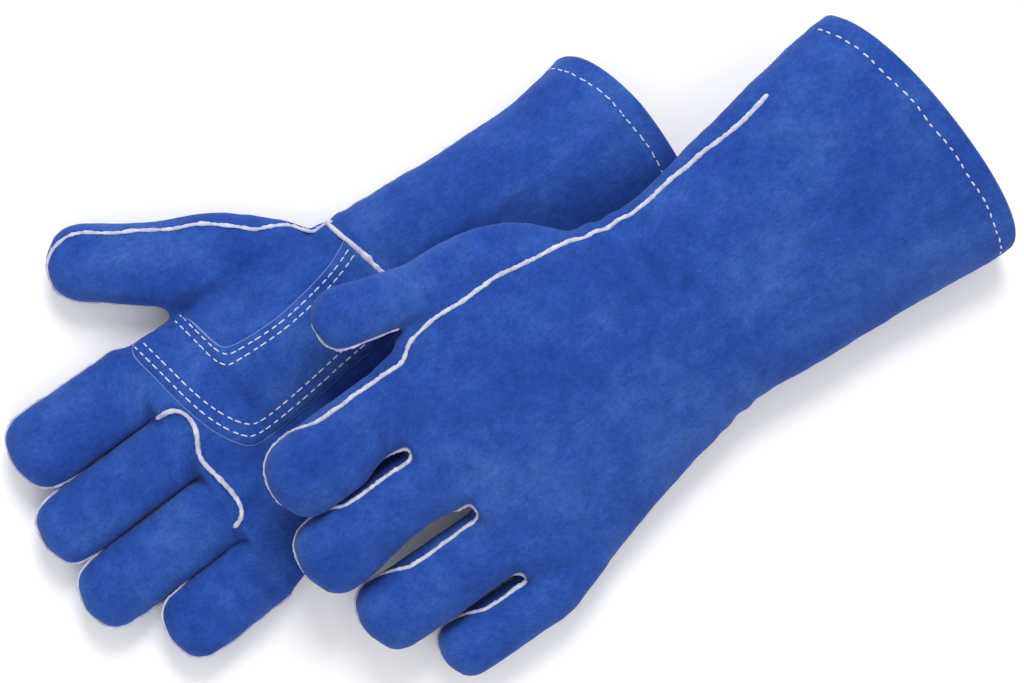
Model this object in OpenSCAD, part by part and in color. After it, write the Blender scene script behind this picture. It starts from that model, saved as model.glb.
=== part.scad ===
// A pair of welder's gauntlet gloves in split leather, laid down as a pair: the right glove
// lies palm up on the floor, and the left glove lies palm down with its thumb side on the
// right glove. Each glove is drawn in its own frame first: fingers towards -Y, thumb towards
// -X, back of the hand towards +Z, the wrist seam at y = 0 and the side seams at z = 0.

/* [Glove] */
// Length of the gauntlet from the hem's corner to the wrist seam
cuff_l = 137; // [110:1:170]
// Length of the hand from the wrist seam to the finger hinge line
hand_l = 116; // [105:1:125]
// Width across the wrist
wrist_w = 108; // [100:1:116]
// Width across the gauntlet's mouth
mouth_w = 138; // [126:1:146]
// Finger lengths from the hinge line: index, middle, ring, little
finger_l = [74, 84, 82, 60]; // [50:1:95]
// Length of the thumb from the middle of its base
thumb_l = 88; // [75:1:100]

/* [Leather] */
// Thickness of the leather
leather_t = 1.8; // [1.4:0.1:2.2]
// Thickness of the fleece and canvas linings
lining_t = 1.2; // [0.8:0.1:1.6]
// How far a welt stands out of its seam
welt_out = 2; // [1.4:0.1:2.4]
// Thickness of a welt
welt_t = 1.8; // [1.2:0.1:2.4]

/* [Stitching] */
// Length of one stitch
stitch_l = 3.2; // [2.4:0.1:4]
// Distance from one stitch to the next
stitch_pitch = 6; // [5:0.5:9]
// Width and height of a stitch's thread
thread_t = 0.7; // [0.5:0.1:1]

/* [Pair] */
// How far the left glove is rolled, thumb side up, in degrees
left_roll = 17; // [17:0.5:18]

/* [Hidden] */

blue = [0.18, 0.32, 0.66];
pale = [0.82, 0.83, 0.86];
cream = [0.86, 0.84, 0.78];

LEFT = 0;
RIGHT = 1;
LEATHER = 0;                        // inset of the leather's outer face
INSIDE = leather_t;                 // inset of its inner face
LINING = leather_t + 0.15;          // inset of the lining's outer face
POCKET = LINING + lining_t;         // inset of the lining's inner face
SEAM = -0.5;                        // inset of what lies on the leather
squareness = 2.4;                   // exponent of the rounded cross-sections
half_steps = 12;                    // facets across one half of a cross-section
finger_gap = 0.8;                   // clear space between a finger and the hand
thumb_gap = 4;                      // clear space between the thumb and the hand

// Where the gloves lie
left_at = [62.4784, 72.0457, 33];
right_at = [-14.5216, -25.9543, 11];
right_turn = -1;                    // turn of the right glove in plan, in degrees

// One station across the hand or the gauntlet:
// [y, thumb-side edge, little-finger edge, height of the back, height of the palm, bow of the
//  line towards the hem, share of the height pressed away at the little-finger side]
function side(x, w) = x * w / 2;
function hand_rows(hand) = hand == LEFT ? [
    [cuff_l, side(-1, mouth_w), side(1, mouth_w), 29, 18, 15, 0],
    [cuff_l * 0.87, side(-0.98, mouth_w), side(0.98, mouth_w), 27, 18, 12, 0],
    [cuff_l * 0.62, side(-0.92, mouth_w), side(0.92, mouth_w), 24, 17, 7, 0],
    [cuff_l * 0.36, side(-0.86, mouth_w), side(0.86, mouth_w), 21, 16, 3, 0],
    [cuff_l * 0.12, side(-1, wrist_w), side(1, wrist_w), 19, 15, 1, 0],
    [0, side(-1.02, wrist_w), side(1.02, wrist_w), 18, 15, 0, 0],
    [-hand_l * 0.26, side(-1.08, wrist_w), side(1.1, wrist_w), 18, 15, 0, 0],
    [-hand_l * 0.52, side(-1.2, wrist_w), side(1.22, wrist_w), 18, 15, 0, 0],
    [-hand_l * 0.8, side(-1.22, wrist_w), side(1.4, wrist_w), 17, 15, 0, 0],
    [-hand_l, side(-1.22, wrist_w), side(1.49, wrist_w), 15, 14, 0, 0]
] : [
    [cuff_l * 0.91, side(-0.69, mouth_w), side(1.02, mouth_w), 9.6, 34, 20, 0.72],
    [cuff_l * 0.79, side(-0.68, mouth_w), side(1, mouth_w), 9.6, 32, 16, 0.72],
    [cuff_l * 0.57, side(-0.67, mouth_w), side(0.95, mouth_w), 9.6, 27, 10, 0.72],
    [cuff_l * 0.33, side(-0.68, mouth_w), side(0.86, mouth_w), 9.6, 22, 4, 0.66],
    [cuff_l * 0.12, side(-0.93, wrist_w), side(1, wrist_w), 11, 19, 1, 0.6],
    [0, side(-0.98, wrist_w), side(1, wrist_w), 11, 18, 0, 0.6],
    [-hand_l * 0.26, side(-1.02, wrist_w), side(1.06, wrist_w), 11, 17, 0, 0.6],
    [-hand_l * 0.52, side(-1.07, wrist_w), side(1.13, wrist_w), 11, 17, 0, 0.6],
    [-hand_l * 0.8, side(-1.11, wrist_w), side(1.28, wrist_w), 11, 17, 0, 0.55],
    [-hand_l, side(-1.15, wrist_w), side(1.38, wrist_w), 11, 16, 0, 0.3]
];
WRIST = 5;                          // the station at the wrist seam

// Fingers: [thumb-side edge, little-finger edge] of the space that each has, in the order
// index, middle, ring, little, and the height of each half
finger_span = [
    [[-63, -25], [-25, 13.5], [15, 52], [54, 79]],
    [[-62, -24.5], [-24.5, 8], [8, 42], [42, 74]]
];
finger_h = [13.5, 11];
finger_share = [1, 0.94];           // share of the full length that each glove's fingers lie at
finger_steps = [0, 0.2, 0.45, 0.7, 0.84, 0.93, 0.98, 1];

// Thumb: its base line from the wrist to the crotch, and its lie
thumb_wrist = [[-66.5, -15], [-54.5, -8]];
thumb_crotch = [[-72, -92], [-61.5, -80]];
thumb_angle = [21, 37];             // away from the fingers' line, in degrees
thumb_drop = [-3, 0];               // centre of the thumb above the side seam
thumb_h = [10, 11];
thumb_half_w = [14, 17];            // half of the thumb's width past its root
thumb_steps = [0, 0.15, 0.35, 0.55, 0.75, 0.88, 0.96, 1];

// ---- cross-sections ----

function power(v, e) = sign(v) * pow(abs(v), e);
function clamp(v, low, high) = max(low, min(high, v));
function flat(grid) = [for (row = grid) for (p = row) p];

// The right glove's little-finger side is pressed down by the left glove on it
function pressed(z, floor_z, share, u) =
    floor_z - (floor_z - z) * (1 - share * clamp((u + 0.35) / 1.35, 0, 1));

// A point of a station's outline at an angle from the little-finger edge, inset into it
function hand_point(hand, row, angle, inset) =
    let (
        half = (row[2] - row[1]) / 2 - inset,
        u = power(cos(angle), 2 / squareness),
        v = power(sin(angle), 2 / squareness),
        x = (row[1] + row[2]) / 2 + half * u,
        back = hand == LEFT ? (row[3] - inset) * v : min((row[3] - inset), (row[3] + 4 - inset) * v),
        z = v > 0 ? back : (row[4] - inset) * v,
        y = row[0] + row[5] * sqrt(max(0, 1 - u * u))
    )
    [x, y, pressed(z, row[3], row[6], u)];

function hand_ring(hand, row, start, end, steps, inset) =
    [for (i = [0:steps]) hand_point(hand, row, start + (end - start) * i / steps, inset)];

function hand_grid(hand, from, to, start, end, steps, inset) =
    [for (i = [from:to]) hand_ring(hand, hand_rows(hand)[i], start, end, steps, inset)];

// A station at any y, between the two that are listed on either side of it
function between(rows, y, i = 0) =
    (i >= len(rows) - 2 || y >= rows[i + 1][0])
        ? let (t = (rows[i][0] - y) / (rows[i][0] - rows[i + 1][0]))
          [for (k = [0:6]) rows[i][k] + (rows[i + 1][k] - rows[i][k]) * t]
        : between(rows, y, i + 1);

// The angle whose point lies at a share u of the half width, on the palm side
function palm_angle(u) = 360 - acos(power(clamp(u, -1, 1), squareness / 2));

// A closed tube, such as a finger or a thumb: stations with a rounded tip
function tip_scale(s, blunt) = s < blunt ? 1 : sqrt(max(0.0004, 1 - pow((s - blunt) / (1 - blunt), 2)));

function finger_ring(hand, k, s, start, end, steps, inset) =
    let (
        span = finger_span[hand][k],
        full = finger_l[k] * finger_share[hand] - inset,
        room = (span[1] - span[0]) / 2 - welt_out - 0.5,
        round = tip_scale(s, 0.72),
        half = (room - inset) * round,
        high = (finger_h[hand] - inset) * (0.25 + 0.75 * round),
        low = hand == RIGHT ? (11 - inset) * min(1, 0.4 + 0.75 * round) : high
    )
    [for (i = [0:steps])
        let (
            angle = start + (end - start) * i / steps,
            v = power(sin(angle), 2 / squareness)
        )
        [
            (span[0] + span[1]) / 2 + half * power(cos(angle), 2 / squareness),
            -hand_l - finger_gap - full * s,
            v > 0 ? low * v : high * v
        ]];

function finger_grid(hand, k, start, end, steps, inset) =
    [for (s = finger_steps) finger_ring(hand, k, s, start, end, steps, inset)];

function thumb_ring(hand, s, start, end, steps, inset) =
    let (
        a = thumb_wrist[hand],
        b = thumb_crotch[hand],
        base = (a + b) / 2 - [thumb_gap, 0],
        half_base = (b - a) / 2,
        way = [-sin(thumb_angle[hand]), -cos(thumb_angle[hand])],
        across = [-way[1], way[0]],
        turn = clamp(s * 2.2, 0, 1),
        width = (norm(half_base) * (1 - turn) + thumb_half_w[hand] * turn) * tip_scale(s, 0.7) - inset,
        toward = half_base / norm(half_base) * (1 - turn) + across * turn,
        aim = toward / norm(toward),
        middle = base + way * (thumb_l - inset) * s,
        high = (thumb_h[hand] - inset) * (0.3 + 0.7 * tip_scale(s, 0.7))
    )
    [for (i = [0:steps])
        let (
            angle = start + (end - start) * i / steps,
            u = power(cos(angle), 2 / squareness),
            v = power(sin(angle), 2 / squareness),
            plan = middle + aim * max(width, 1) * u
        )
        [plan[0], plan[1], thumb_drop[hand] + high * v]];

function thumb_grid(hand, start, end, steps, inset, root = 0) =
    [for (s = thumb_steps) if (s >= root) thumb_ring(hand, s, start, end, steps, inset)];

// ---- solids ----

// A closed solid between an outer and an inner grid of points of the same size
module skin(outer, inner, loop = false) {
    rows = len(outer);
    cols = len(outer[0]);
    last = loop ? cols : cols - 1;
    count = rows * cols;
    function at(i, j) = i * cols + j % cols;
    function quad(a, b, c, d) = [[a, b, c], [a, c, d]];
    outside = [for (i = [0:rows - 2]) for (j = [0:last - 1])
        each quad(at(i, j), at(i + 1, j), at(i + 1, j + 1), at(i, j + 1))];
    inside = [for (i = [0:rows - 2]) for (j = [0:last - 1])
        each quad(count + at(i, j), count + at(i, j + 1), count + at(i + 1, j + 1), count + at(i + 1, j))];
    ends = [for (j = [0:last - 1]) each concat(
        quad(at(0, j), at(0, j + 1), count + at(0, j + 1), count + at(0, j)),
        quad(at(rows - 1, j + 1), at(rows - 1, j), count + at(rows - 1, j), count + at(rows - 1, j + 1)))];
    edges = loop ? [] : [for (i = [0:rows - 2]) each concat(
        quad(at(i + 1, 0), at(i, 0), count + at(i, 0), count + at(i + 1, 0)),
        quad(at(i, cols - 1), at(i + 1, cols - 1), count + at(i + 1, cols - 1), count + at(i, cols - 1)))];
    faces = concat(outside, inside, ends, edges);
    polyhedron(flat(concat(outer, inner)), faces);
}

// Places a glove's pieces, drawn in the glove's own frame, where the glove lies
module lie(hand) {
    if (hand == LEFT)
        translate(left_at) rotate([0, left_roll, 0]) children();
    else
        translate(right_at) rotate([0, 0, right_turn]) mirror([0, 0, 1]) children();
}

module half_shell(hand, from, to, start, end) {
    lie(hand)
        skin(hand_grid(hand, from, to, start, end, half_steps, LEATHER),
             hand_grid(hand, from, to, start, end, half_steps, INSIDE));
}

module back_panel(hand) {
    color(blue) half_shell(hand, 0, len(hand_rows(hand)) - 1, 0, 180);
}

module cuff_front(hand) {
    color(blue) half_shell(hand, 0, WRIST, 180, 360);
}

module palm_panel(hand) {
    color(blue) half_shell(hand, WRIST, len(hand_rows(hand)) - 1, 180, 360);
}

// ---- patch, linings, welts and stitches of the hand ----

// A point on the palm's surface at x and y
function palm_at(hand, x, y, inset) =
    let (row = between(hand_rows(hand), y),
         u = (x - (row[1] + row[2]) / 2) / ((row[2] - row[1]) / 2))
    hand_point(hand, row, palm_angle(u), inset);

// The reinforcement between the thumb and the palm: [share of the hand's length, thumb-side
// edge, little-finger edge]
patch_t = 1.4;
patch_rows = [[-0.035, -33, 3], [-0.26, -29, 3], [-0.5, -26, 5], [-0.6, -29, 6], [-0.68, -47, 6], [-0.79, -47, 3], [-0.89, -44, -12]];
patch_cols = 7;

function patch_grid(hand, inset) =
    [for (r = patch_rows) [for (k = [0:patch_cols])
        palm_at(hand, r[1] + (r[2] - r[1]) * k / patch_cols, r[0] * hand_l, inset)]];

module palm_patch(hand) {
    color(blue) lie(hand)
        skin(patch_grid(hand, SEAM - patch_t), patch_grid(hand, SEAM));
}

ring_steps = 23;                    // points round a lining, less one
ring_end = 345;                     // angle of the last of them

module hand_lining(hand) {
    last = len(hand_rows(hand)) - 1;
    color(cream) lie(hand)
        skin(hand_grid(hand, WRIST, last, 0, ring_end, ring_steps, LINING),
             hand_grid(hand, WRIST, last, 0, ring_end, ring_steps, POCKET), loop = true);
}

module cuff_lining(hand) {
    color(cream) lie(hand)
        skin(hand_grid(hand, 1, WRIST, 0, ring_end, ring_steps, LINING),
             hand_grid(hand, 1, WRIST, 0, ring_end, ring_steps, POCKET), loop = true);
}

// A strip whose two edges run along two lines of points, one further out than the other
module strip(outer, inner, thick) {
    skin([for (p = outer) [p + [0, 0, thick / 2], p - [0, 0, thick / 2]]],
         [for (p = inner) [p + [0, 0, thick / 2], p - [0, 0, thick / 2]]]);
}

side_welt_top = [90, 84];           // where the side welt's cut end lies above the wrist
side_steps = 16;

function side_line(hand, inset) =
    [for (i = [0:side_steps])
        let (y = side_welt_top[hand] + (-hand_l - side_welt_top[hand]) * i / side_steps,
             row = between(hand_rows(hand), y))
        [row[1] + inset, y, 0]];

module side_welt(hand) {
    color(pale) lie(hand) strip(side_line(hand, SEAM - welt_out), side_line(hand, SEAM), welt_t);
}

function wrist_ring(hand, y, inset) =
    hand_ring(hand, between(hand_rows(hand), y), 186, 354, half_steps, inset);

module wrist_welt(hand) {
    color(pale) lie(hand)
        skin([wrist_ring(hand, welt_t / 2, SEAM - welt_out / 2), wrist_ring(hand, -welt_t / 2, SEAM - welt_out / 2)],
             [wrist_ring(hand, welt_t / 2, SEAM), wrist_ring(hand, -welt_t / 2, SEAM)]);
}

// The welt at the base of the middle and ring fingers waves across the palm
base_steps = 16;

function base_line(hand, shift, inset) =
    [for (i = [0:base_steps])
        let (from = finger_span[hand][1][0] + 2,
             to = finger_span[hand][2][1] - 4,
             t = i / base_steps,
             wave = 3.5 * pow(abs(sin(360 * t)), 0.5) - 7 * (pow(2 * t - 1, 8)))
        palm_at(hand, from + (to - from) * t, -hand_l + 7 + wave + shift, inset)];

module finger_base_welt(hand) {
    color(pale) lie(hand)
        skin([base_line(hand, welt_t / 2, SEAM - welt_out / 2), base_line(hand, -welt_t / 2, SEAM - welt_out / 2)],
             [base_line(hand, welt_t / 2, SEAM), base_line(hand, -welt_t / 2, SEAM)]);
}

// One stitch from point a towards point b
module stitch(a, b) {
    way = b - a;
    translate(a + way / 2)
        rotate([0, -asin(way[2] / norm(way)), atan2(way[1], way[0])])
            cube([stitch_l, thread_t, thread_t], center = true);
}

hem_depth = 8;                      // from the rim to the hem's row of stitches

hem_lift = 0.15;                    // clear space under the hem's stitches, whose leather is curved

hem_flat = 4;                       // stitches that have no room where the right cuff lies flattest

function hem_point(hand, angle) =
    let (rim = hand_rows(hand)[0][0])
    hand_point(hand, between(hand_rows(hand), rim - hem_depth), angle, SEAM - hem_lift - thread_t / 2);

module hem_stitches(hand) {
    count = floor(mouth_w * 1.04 / stitch_pitch);
    step = 132 / count;
    for (side = [0, 180])
        for (i = [(hand == RIGHT && side == 0 ? hem_flat : 0):count - 1])
            stitch(hem_point(hand, side + 24 + i * step), hem_point(hand, side + 24 + (i + 0.55) * step));
}

// Rows of stitches on the patch, each a line of [x, y] corners: the thumb-side pair, then the
// pair across the palm and up its little-finger side
patch_lines = [
    [[-31, -6], [-27, -34], [-24, -58], [-27, -70]],
    [[-27.5, -6], [-23.5, -34], [-20.5, -60], [-24, -73]],
    [[1, -6], [1, -34], [3, -60], [4, -80], [0, -92], [-12, -101], [-42, -100]],
    [[-3, -6], [-3, -34], [-1, -60], [0, -80], [-4, -89], [-14, -97], [-42, -96]]
];

module patch_stitches(hand) {
    lift = SEAM - patch_t - thread_t;
    for (line = patch_lines)
        for (k = [0:len(line) - 2]) {
            a = line[k];
            b = line[k + 1];
            count = floor(norm(b - a) / stitch_pitch);
            for (i = [0:count - 1]) {
                p = a + (b - a) * i / count;
                q = a + (b - a) * (i + 0.55) / count;
                stitch(palm_at(hand, p[0], p[1], lift), palm_at(hand, q[0], q[1], lift));
            }
        }
}

module stitching(hand) {
    color(pale) lie(hand) {
        hem_stitches(hand);
        patch_stitches(hand);
    }
}

// ---- fingers and thumb ----

finger_half = 8;                    // facets across one half of a finger
tube_steps = 15;
tube_end = 337.5;

module finger_back(hand, k) {
    color(blue) lie(hand)
        skin(finger_grid(hand, k, 0, 180, finger_half, LEATHER), finger_grid(hand, k, 0, 180, finger_half, INSIDE));
}

module finger_front(hand, k) {
    color(blue) lie(hand)
        skin(finger_grid(hand, k, 180, 360, finger_half, LEATHER), finger_grid(hand, k, 180, 360, finger_half, INSIDE));
}

module finger_lining(hand, k) {
    color(cream) lie(hand)
        skin(finger_grid(hand, k, 0, tube_end, tube_steps, LINING),
             finger_grid(hand, k, 0, tube_end, tube_steps, POCKET), loop = true);
}

// The edge of a finger or thumb down one side, round the tip and up the other side as far as
// the grid's row `stop`
function round_tip(grid, stop = 0) =
    concat([for (row = grid) row[1]], [for (i = [len(grid) - 1:-1:stop]) grid[i][0]]);

module finger_welt(hand, k) {
    color(pale) lie(hand)
        strip(round_tip(finger_grid(hand, k, 0, 180, 1, SEAM - welt_out)),
              round_tip(finger_grid(hand, k, 0, 180, 1, SEAM)), welt_t);
}

module thumb_back(hand) {
    color(blue) lie(hand)
        skin(thumb_grid(hand, 0, 180, finger_half, LEATHER), thumb_grid(hand, 0, 180, finger_half, INSIDE));
}

module thumb_front(hand) {
    color(blue) lie(hand)
        skin(thumb_grid(hand, 180, 360, finger_half, LEATHER), thumb_grid(hand, 180, 360, finger_half, INSIDE));
}

thumb_lining_root = 0.3;            // share of the thumb's length that the hand's lining fills

module thumb_lining(hand) {
    color(cream) lie(hand)
        skin(thumb_grid(hand, 0, tube_end, tube_steps, LINING, thumb_lining_root),
             thumb_grid(hand, 0, tube_end, tube_steps, POCKET, thumb_lining_root), loop = true);
}

thumb_welt_stop = 3;                // rows near the crotch that the welt leaves bare

module thumb_welt(hand) {
    color(pale) lie(hand)
        strip(round_tip(thumb_grid(hand, 0, 180, 1, SEAM - welt_out), thumb_welt_stop),
              round_tip(thumb_grid(hand, 0, 180, 1, SEAM), thumb_welt_stop), welt_t);
}

INDEX = 0;
MIDDLE = 1;
RING = 2;
LITTLE = 3;

back_panel(RIGHT);  // right_back_panel
cuff_front(RIGHT);  // right_cuff_front
palm_panel(RIGHT);  // right_palm_panel
palm_patch(RIGHT);  // right_palm_patch
hand_lining(RIGHT);  // right_hand_lining
cuff_lining(RIGHT);  // right_cuff_lining
side_welt(RIGHT);  // right_side_welt
wrist_welt(RIGHT);  // right_wrist_welt
finger_base_welt(RIGHT);  // right_finger_base_welt
stitching(RIGHT);  // right_stitching
finger_back(RIGHT, INDEX);  // right_index_back
finger_front(RIGHT, INDEX);  // right_index_front
finger_lining(RIGHT, INDEX);  // right_index_lining
finger_welt(RIGHT, INDEX);  // right_index_welt
finger_back(RIGHT, MIDDLE);  // right_middle_back
finger_front(RIGHT, MIDDLE);  // right_middle_front
finger_lining(RIGHT, MIDDLE);  // right_middle_lining
finger_welt(RIGHT, MIDDLE);  // right_middle_welt
finger_back(RIGHT, RING);  // right_ring_back
finger_front(RIGHT, RING);  // right_ring_front
finger_lining(RIGHT, RING);  // right_ring_lining
finger_welt(RIGHT, RING);  // right_ring_welt
finger_back(RIGHT, LITTLE);  // right_little_back
finger_front(RIGHT, LITTLE);  // right_little_front
finger_lining(RIGHT, LITTLE);  // right_little_lining
finger_welt(RIGHT, LITTLE);  // right_little_welt
thumb_back(RIGHT);  // right_thumb_back
thumb_front(RIGHT);  // right_thumb_front
thumb_lining(RIGHT);  // right_thumb_lining
thumb_welt(RIGHT);  // right_thumb_welt
back_panel(LEFT);  // left_back_panel
cuff_front(LEFT);  // left_cuff_front
palm_panel(LEFT);  // left_palm_panel
palm_patch(LEFT);  // left_palm_patch
hand_lining(LEFT);  // left_hand_lining
cuff_lining(LEFT);  // left_cuff_lining
side_welt(LEFT);  // left_side_welt
wrist_welt(LEFT);  // left_wrist_welt
finger_base_welt(LEFT);  // left_finger_base_welt
stitching(LEFT);  // left_stitching
finger_back(LEFT, INDEX);  // left_index_back
finger_front(LEFT, INDEX);  // left_index_front
finger_lining(LEFT, INDEX);  // left_index_lining
finger_welt(LEFT, INDEX);  // left_index_welt
finger_back(LEFT, MIDDLE);  // left_middle_back
finger_front(LEFT, MIDDLE);  // left_middle_front
finger_lining(LEFT, MIDDLE);  // left_middle_lining
finger_welt(LEFT, MIDDLE);  // left_middle_welt
finger_back(LEFT, RING);  // left_ring_back
finger_front(LEFT, RING);  // left_ring_front
finger_lining(LEFT, RING);  // left_ring_lining
finger_welt(LEFT, RING);  // left_ring_welt
finger_back(LEFT, LITTLE);  // left_little_back
finger_front(LEFT, LITTLE);  // left_little_front
finger_lining(LEFT, LITTLE);  // left_little_lining
finger_welt(LEFT, LITTLE);  // left_little_welt
thumb_back(LEFT);  // left_thumb_back
thumb_front(LEFT);  // left_thumb_front
thumb_lining(LEFT);  // left_thumb_lining
thumb_welt(LEFT);  // left_thumb_welt
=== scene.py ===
import math

import bmesh
import bpy
import numpy as np
from mathutils import Matrix, Vector, noise
from mathutils.bvhtree import BVHTree
from mathutils.geometry import delaunay_2d_cdt


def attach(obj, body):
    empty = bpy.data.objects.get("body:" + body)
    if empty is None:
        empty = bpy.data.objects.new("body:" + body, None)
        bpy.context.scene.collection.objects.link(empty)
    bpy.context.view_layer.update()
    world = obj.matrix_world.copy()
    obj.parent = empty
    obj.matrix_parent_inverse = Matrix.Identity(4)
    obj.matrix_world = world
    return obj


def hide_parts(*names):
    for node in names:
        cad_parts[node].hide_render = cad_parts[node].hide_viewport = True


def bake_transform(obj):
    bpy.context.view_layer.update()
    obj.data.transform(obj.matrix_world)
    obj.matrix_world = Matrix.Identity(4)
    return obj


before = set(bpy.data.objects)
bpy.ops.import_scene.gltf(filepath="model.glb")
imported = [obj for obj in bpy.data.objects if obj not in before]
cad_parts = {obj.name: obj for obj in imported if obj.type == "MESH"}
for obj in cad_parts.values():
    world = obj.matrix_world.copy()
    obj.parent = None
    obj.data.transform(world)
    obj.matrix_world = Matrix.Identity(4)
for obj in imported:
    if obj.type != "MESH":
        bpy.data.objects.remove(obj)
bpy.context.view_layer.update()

# A pair of welding gloves. Each glove is drawn in its own frame, in millimetres, as in the CAD:
# fingers towards -Y, thumb towards -X, back of the hand towards +Z, wrist seam at y = 0. It is
# lofted, remeshed into one skin, given swells and creases, laid where the CAD has it, and cut
# into the CAD's panels. Welts, stitches, patch and linings are then laid on and in that skin.

DIGITS = ("index", "middle", "ring", "little")
MM = 0.001

CUFF_L = 137.0      # hem's corner to wrist seam
HAND_L = 116.0      # wrist seam to finger hinge line
HALF_WRIST = 54.0
HALF_MOUTH = 69.0
SQUARE = 2.4        # exponent of the rounded cross-sections
VOXEL = 1.7         # grid of the skin's remesh
SPREAD = 6.0        # extra room between fingers while the skin is remeshed
SPREAD_RAMP = 13.0  # length over which that room opens
STITCH = 0.36       # radius of a stitch of the hem's row
HEM_ROW = 7.6       # hem's edge to its row of stitches

# rows: y, thumb-side edge, little-finger edge, back height, palm height, bow of the hem,
#   share of the height pressed away on the little-finger side
# spans: the edges of each finger at its root; web, webs: where the hand and each slot end
# lean: sideways lean of each finger per mm; lengths: past the hinge line
# slots: how much each slot narrows the finger beside it, and over what length
# finger_h, thumb_h: back and palm heights; thumb_base: the two ends of the thumb's root
# thumb_angle: from -Y; thumb_swing: turn when the glove is laid down; thumb_z: height of its axis
# thumb_w: half its width; side_z, far_z, tip_z: a finger seam's height on its sides and tip
# thumb_seam: its height at the root, outer and inner side; thumb_root: y of its first points
# stand: how far welts stand out; floor: depth of the floor under the glove's axis, if it lies on it
# welt_top, welt_rise: where the side welt ends, and its rise there; cuff: the rim; skew: of the hem
GLOVES = {
    "left": {
        "rows": [
            (1.0 * CUFF_L, -HALF_MOUTH, 1.03 * HALF_MOUTH, 29, 18, 12, 0),
            (0.87 * CUFF_L, -0.98 * HALF_MOUTH, 1.01 * HALF_MOUTH, 27, 18, 10, 0),
            (0.62 * CUFF_L, -0.92 * HALF_MOUTH, 0.95 * HALF_MOUTH, 24, 17, 7, 0),
            (0.36 * CUFF_L, -0.86 * HALF_MOUTH, 0.885 * HALF_MOUTH, 21, 16, 3, 0),
            (0.12 * CUFF_L, -1.0 * HALF_WRIST, 1.03 * HALF_WRIST, 19, 15, 1, 0),
            (0.0, -1.03 * HALF_WRIST, 1.05 * HALF_WRIST, 18, 15, 0, 0),
            (-0.26 * HAND_L, -1.2 * HALF_WRIST, 1.13 * HALF_WRIST, 18, 15, 0, 0),
            (-0.52 * HAND_L, -1.31 * HALF_WRIST, 1.24 * HALF_WRIST, 18, 15, 0, 0),
            (-0.8 * HAND_L, -1.35 * HALF_WRIST, 1.41 * HALF_WRIST, 17, 15, 0, 0),
            (-1.0 * HAND_L, -1.25 * HALF_WRIST, 1.48 * HALF_WRIST, 15, 14, 0, 0),
        ],
        "spans": [(-63, -25), (-24.2, 12.5), (17, 52), (54.5, 82)],
        "web": -125.0,
        "webs": (-135.0, -125.0, -122.5),
        "lean": (-0.01, -0.03, -0.06, -0.06),
        "lengths": (76, 86, 80, 60),
        "slots": ((4.0, 30.0), (3.5, 60.0), (1.5, 30.0)),
        "finger_h": (14.0, 13.0),
        "thumb_base": ((-60, -15), (-63, -92)),
        "thumb_angle": 30.0,
        "thumb_swing": -9.0,
        "thumb_z": -4.0,
        "thumb_h": (10.5, 10.5),
        "thumb_w": 14.8,
        "thumb_l": 86.0,
        "side_z": 7.0,
        "far_z": -2.0,
        "tip_z": -5.0,
        "thumb_seam": (-13.4, -13.4, 1.0),
        "thumb_root": (),
        "stand": 0.9,
        "floor": None,
        "welt_top": 90.0,
        "welt_rise": 5.0,
        "cuff": CUFF_L,
        "skew": 5.0,
    },
    "right": {
        "rows": [
            (0.91 * CUFF_L, -0.735 * HALF_MOUTH, 1.02 * HALF_MOUTH, 10, 34, 16, 0.72),
            (0.79 * CUFF_L, -0.68 * HALF_MOUTH, 1.0 * HALF_MOUTH, 10, 32, 16, 0.72),
            (0.57 * CUFF_L, -0.67 * HALF_MOUTH, 0.95 * HALF_MOUTH, 10, 27, 10, 0.72),
            (0.33 * CUFF_L, -0.68 * HALF_MOUTH, 0.86 * HALF_MOUTH, 10, 22, 4, 0.66),
            (0.12 * CUFF_L, -0.93 * HALF_WRIST, 1.0 * HALF_WRIST, 11, 19, 1, 0.6),
            (0.0, -0.98 * HALF_WRIST, 1.0 * HALF_WRIST, 11, 18, 0, 0.6),
            (-0.26 * HAND_L, -1.01 * HALF_WRIST, 1.06 * HALF_WRIST, 11, 17, 0, 0.6),
            (-0.52 * HAND_L, -1.06 * HALF_WRIST, 1.13 * HALF_WRIST, 11, 17, 0, 0.6),
            (-0.8 * HAND_L, -1.07 * HALF_WRIST, 1.28 * HALF_WRIST, 11, 17, 0, 0.55),
            (-1.0 * HAND_L, -1.1 * HALF_WRIST, 1.4 * HALF_WRIST, 11, 16, 0, 0.3),
        ],
        "spans": [(-61.5, -25.2), (-24.8, 8), (8.4, 42.3), (42.7, 76)],
        "web": -116.0,
        "webs": (-114.5, -114.5, -114.5),
        "lean": (0.0, 0.02, 0.02, 0.02),
        "lengths": (64, 74, 75.5, 53.5),
        "slots": ((0.0, 30.0), (0.0, 30.0), (0.0, 30.0)),
        "finger_h": (11.0, 13.0),
        "thumb_base": ((-53, -6), (-61, -82)),
        "thumb_angle": 37.0,
        "thumb_swing": 0.0,
        "thumb_z": -0.5,
        "thumb_h": (10.5, 12.5),
        "thumb_w": 18.8,
        "thumb_l": 89.0,
        "side_z": 2.0,
        "far_z": 2.0,
        "tip_z": -3.5,
        "thumb_seam": (-6.0, -10.0, 3.0),
        "thumb_root": (0.0, -5.0, -10.0),
        "stand": 0.8,
        "floor": 11.0,
        "welt_top": 84.0,
        "welt_rise": 0.0,
        "cuff": 0.91 * CUFF_L,
        "skew": 0.0,
    },
}


# ---- small helpers ----

def ease(t):
    t = np.clip(t, 0.0, 1.0)
    return t * t * (3 - 2 * t)


def power(v, e):
    return np.sign(v) * np.abs(v) ** e


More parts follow.
